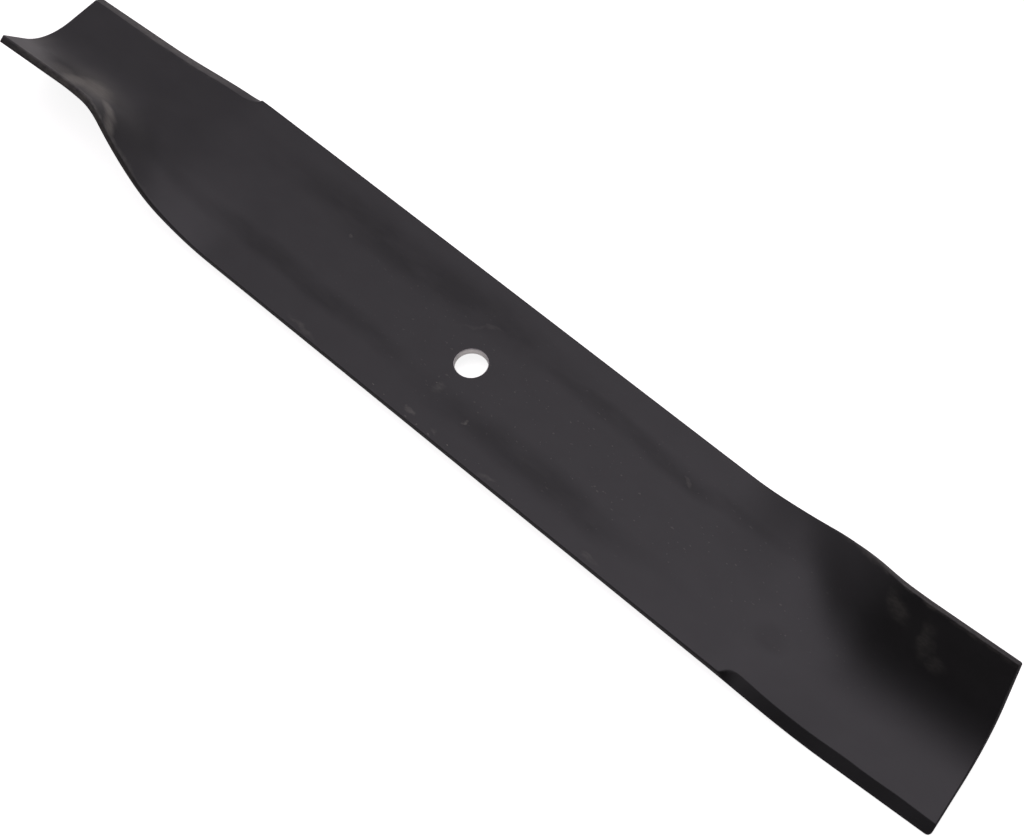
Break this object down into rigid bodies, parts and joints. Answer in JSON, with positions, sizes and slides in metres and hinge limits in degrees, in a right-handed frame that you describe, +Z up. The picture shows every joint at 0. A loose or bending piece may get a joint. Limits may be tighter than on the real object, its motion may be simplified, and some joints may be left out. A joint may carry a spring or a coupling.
{
  "type": "rotary mower blade",
  "caption": "Flat steel mower blade with a bore in the middle, ground cutting edges at its ends and pressed wings behind them that lift and throw the cut grass.",
  "frame": {"origin": "on the axis of the bore, halfway through the plate", "axes": "+X along the blade, +Y across it, +Z up along the bore axis, the way the wings rise; the blade turns clockwise seen from above"},
  "size_m": [0.4944, 0.07, 0.034],
  "materials": {
    "black_coated_steel": "satin black coat over rolled steel"
  },
  "bodies": {
    "root": {"blade": "black_coated_steel"}
  },
  "joints": []
}
